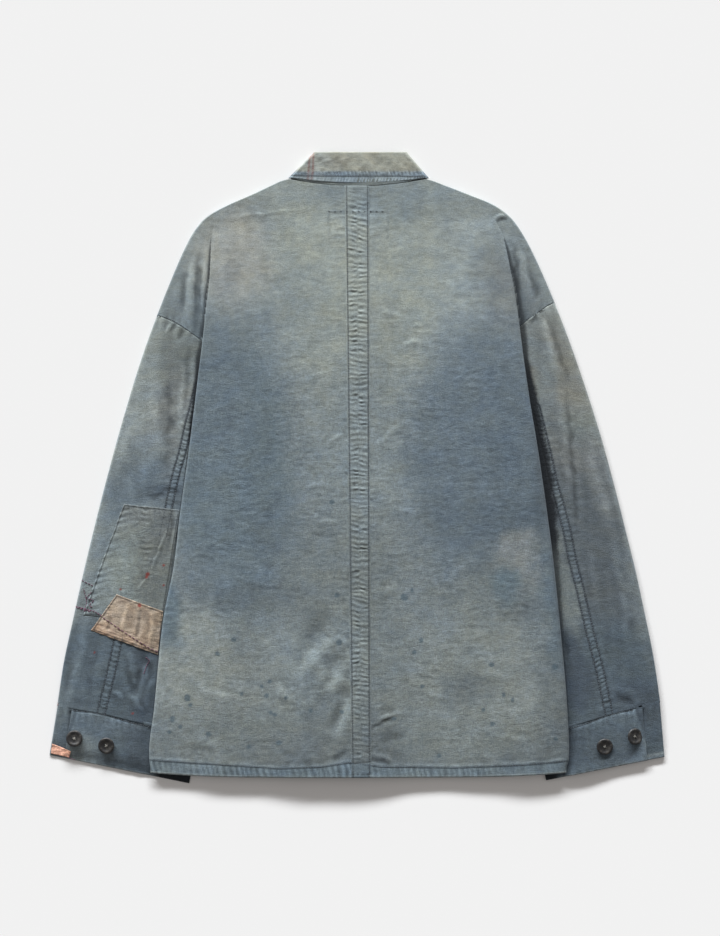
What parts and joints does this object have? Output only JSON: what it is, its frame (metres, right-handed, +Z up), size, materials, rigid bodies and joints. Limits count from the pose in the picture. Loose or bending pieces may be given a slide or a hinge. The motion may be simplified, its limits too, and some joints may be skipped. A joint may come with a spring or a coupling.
{
  "type": "patched work jacket",
  "caption": "Faded and patched cotton work jacket lying flat with its back upwards: folded collar, centre back strap, sleeves under the side folds and buttoned cuffs.",
  "frame": {"origin": "on the surface that the jacket lies on, under the middle of its box", "axes": "+X across the jacket to the picture's right (the wearer's right), +Y from the hem to the collar, +Z up from the surface, out of the jacket's back"},
  "size_m": [0.727, 0.7444, 0.0112],
  "materials": {
    "back_cloth": "plain-weave cotton, faded and sun-bleached blue and sage, slubby, matt",
    "front_cloth": "the same faded plain-weave cotton",
    "sleeve_cloth": "the same cotton, deep slate blue below, grey-green above, matt",
    "cuff_cloth": "the same cotton doubled, slate blue with bleached edges",
    "strap_cloth": "the same cotton, puckered between two lock-stitched edges",
    "collar_cloth": "sage cotton with a red double line, bleached blue along its edge",
    "stand_cloth": "faded plain-weave cotton",
    "elbow_patch_cloth": "pale blue-green washed cotton, wrinkled, with rust spots",
    "beige_patch_cloth": "beige cotton with soft brown creases and brown running stitches",
    "salmon_patch_cloth": "small salmon cotton patch",
    "button_resin": "dark charcoal resin, four holes, worn satin rim"
  },
  "bodies": {
    "root": {"back_left": "back_cloth", "back_right": "back_cloth", "front_left": "front_cloth", "front_right": "front_cloth", "sleeve_left": "sleeve_cloth", "sleeve_right": "sleeve_cloth", "cuff_left": "cuff_cloth", "cuff_right": "cuff_cloth", "centre_back_strap": "strap_cloth", "collar_fall": "collar_cloth", "collar_stand": "stand_cloth", "elbow_patch": "elbow_patch_cloth", "beige_patch": "beige_patch_cloth", "salmon_patch": "salmon_patch_cloth", "cuff_button_left_outer": "button_resin", "cuff_button_left_inner": "button_resin", "cuff_button_right_inner": "button_resin", "cuff_button_right_outer": "button_resin", "front_button_1": "button_resin", "front_button_2": "button_resin", "front_button_3": "button_resin", "front_button_4": "button_resin", "front_button_5": "button_resin"}
  },
  "joints": []
}
